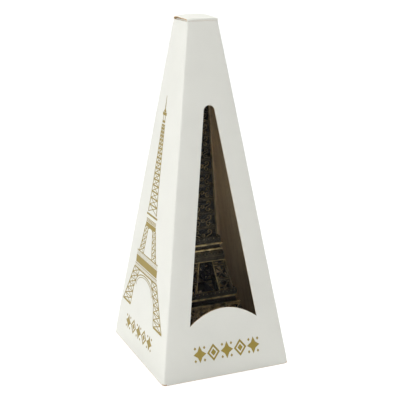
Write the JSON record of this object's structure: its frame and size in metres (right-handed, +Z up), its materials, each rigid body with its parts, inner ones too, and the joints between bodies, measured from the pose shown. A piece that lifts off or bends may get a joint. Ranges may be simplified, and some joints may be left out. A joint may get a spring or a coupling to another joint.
{
  "type": "boxed miniature tower",
  "caption": "Cast miniature lattice tower standing in a tall pyramid folding gift carton with a clear window, printed panels and tuck-in top and bottom closures.",
  "frame": {"origin": "middle of the carton's footprint, on the surface it stands on", "axes": "+Z up; the window panel faces -Y and the printed side panel faces -X"},
  "size_m": [0.0756, 0.0815, 0.19],
  "materials": {
    "board": "satin",
    "film": "gloss",
    "tower_metal": "satin",
    "gold_foil": "satin"
  },
  "bodies": {
    "carton": {"front_window_panel": "board", "left_panel": "board", "right_panel": "board", "back_panel": "board", "window_film": "film", "glue_flap": "board"},
    "top_lid": {"top_lid": "board"},
    "top_tuck_flap": {"top_tuck_flap": "board"},
    "top_dust_flap_left": {"top_dust_flap_left": "board"},
    "top_dust_flap_right": {"top_dust_flap_right": "board"},
    "bottom_lid": {"bottom_lid": "board"},
    "bottom_tuck_flap": {"bottom_tuck_flap": "board"},
    "bottom_dust_flap_left": {"bottom_dust_flap_left": "board"},
    "bottom_dust_flap_right": {"bottom_dust_flap_right": "board"},
    "tower": {"arch_back": "tower_metal", "arch_front": "tower_metal", "arch_left": "tower_metal", "arch_right": "tower_metal", "first_platform": "tower_metal", "lantern": "tower_metal", "lower_leg_back_left": "tower_metal", "lower_leg_back_right": "tower_metal", "lower_leg_front_left": "tower_metal", "lower_leg_front_right": "tower_metal", "mast": "tower_metal", "middle_leg_back_left": "tower_metal", "middle_leg_back_right": "tower_metal", "middle_leg_front_left": "tower_metal", "middle_leg_front_right": "tower_metal", "second_platform": "tower_metal", "shaft_face_back": "tower_metal", "shaft_face_front": "tower_metal", "shaft_face_left": "tower_metal", "shaft_face_right": "tower_metal", "third_platform": "tower_metal"}
  },
  "joints": [
    {"name": "top_lid_hinge", "type": "hinge", "parent": "carton", "child": "top_lid", "pos_m": [0, -0.00956, 0.18935], "axis": [1, 0, 0], "range_deg": [0, 180]},
    {"name": "top_tuck_hinge", "type": "hinge", "parent": "top_lid", "child": "top_tuck_flap", "pos_m": [0, 0.0089, 0.1892], "axis": [-1, 0, 0], "range_deg": [-15, 30]},
    {"name": "top_dust_left_hinge", "type": "hinge", "parent": "carton", "child": "top_dust_flap_left", "pos_m": [-0.00845, 0, 0.1892], "axis": [0, -1, 0], "range_deg": [0, 90]},
    {"name": "top_dust_right_hinge", "type": "hinge", "parent": "carton", "child": "top_dust_flap_right", "pos_m": [0.00845, 0, 0.1892], "axis": [0, 1, 0], "range_deg": [0, 90]},
    {"name": "bottom_lid_hinge", "type": "hinge", "parent": "carton", "child": "bottom_lid", "pos_m": [0, 0.0405, 0.0001], "axis": [1, 0, 0], "range_deg": [0, 120]},
    {"name": "bottom_tuck_hinge", "type": "hinge", "parent": "bottom_lid", "child": "bottom_tuck_flap", "pos_m": [0, -0.0396, 0.0008], "axis": [-1, 0, 0], "range_deg": [0, 25]},
    {"name": "bottom_dust_left_hinge", "type": "hinge", "parent": "carton", "child": "bottom_dust_flap_left", "pos_m": [-0.037, 0, 0.0008], "axis": [0, 1, 0], "range_deg": [0, 84]},
    {"name": "bottom_dust_right_hinge", "type": "hinge", "parent": "carton", "child": "bottom_dust_flap_right", "pos_m": [0.037, 0, 0.0008], "axis": [0, -1, 0], "range_deg": [0, 84]},
    {"name": "tower_lift", "type": "slide", "parent": "carton", "child": "tower", "axis": [0, 0, 1], "range_m": [0, 0.0065]}
  ],
  "couplings": [
    {"joint": "top_dust_left_hinge", "follows": "top_lid_hinge", "ratio": 0.5},
    {"joint": "top_dust_right_hinge", "follows": "top_lid_hinge", "ratio": 0.5},
    {"joint": "bottom_dust_left_hinge", "follows": "bottom_lid_hinge", "ratio": 0.7},
    {"joint": "bottom_dust_right_hinge", "follows": "bottom_lid_hinge", "ratio": 0.7}
  ]
}
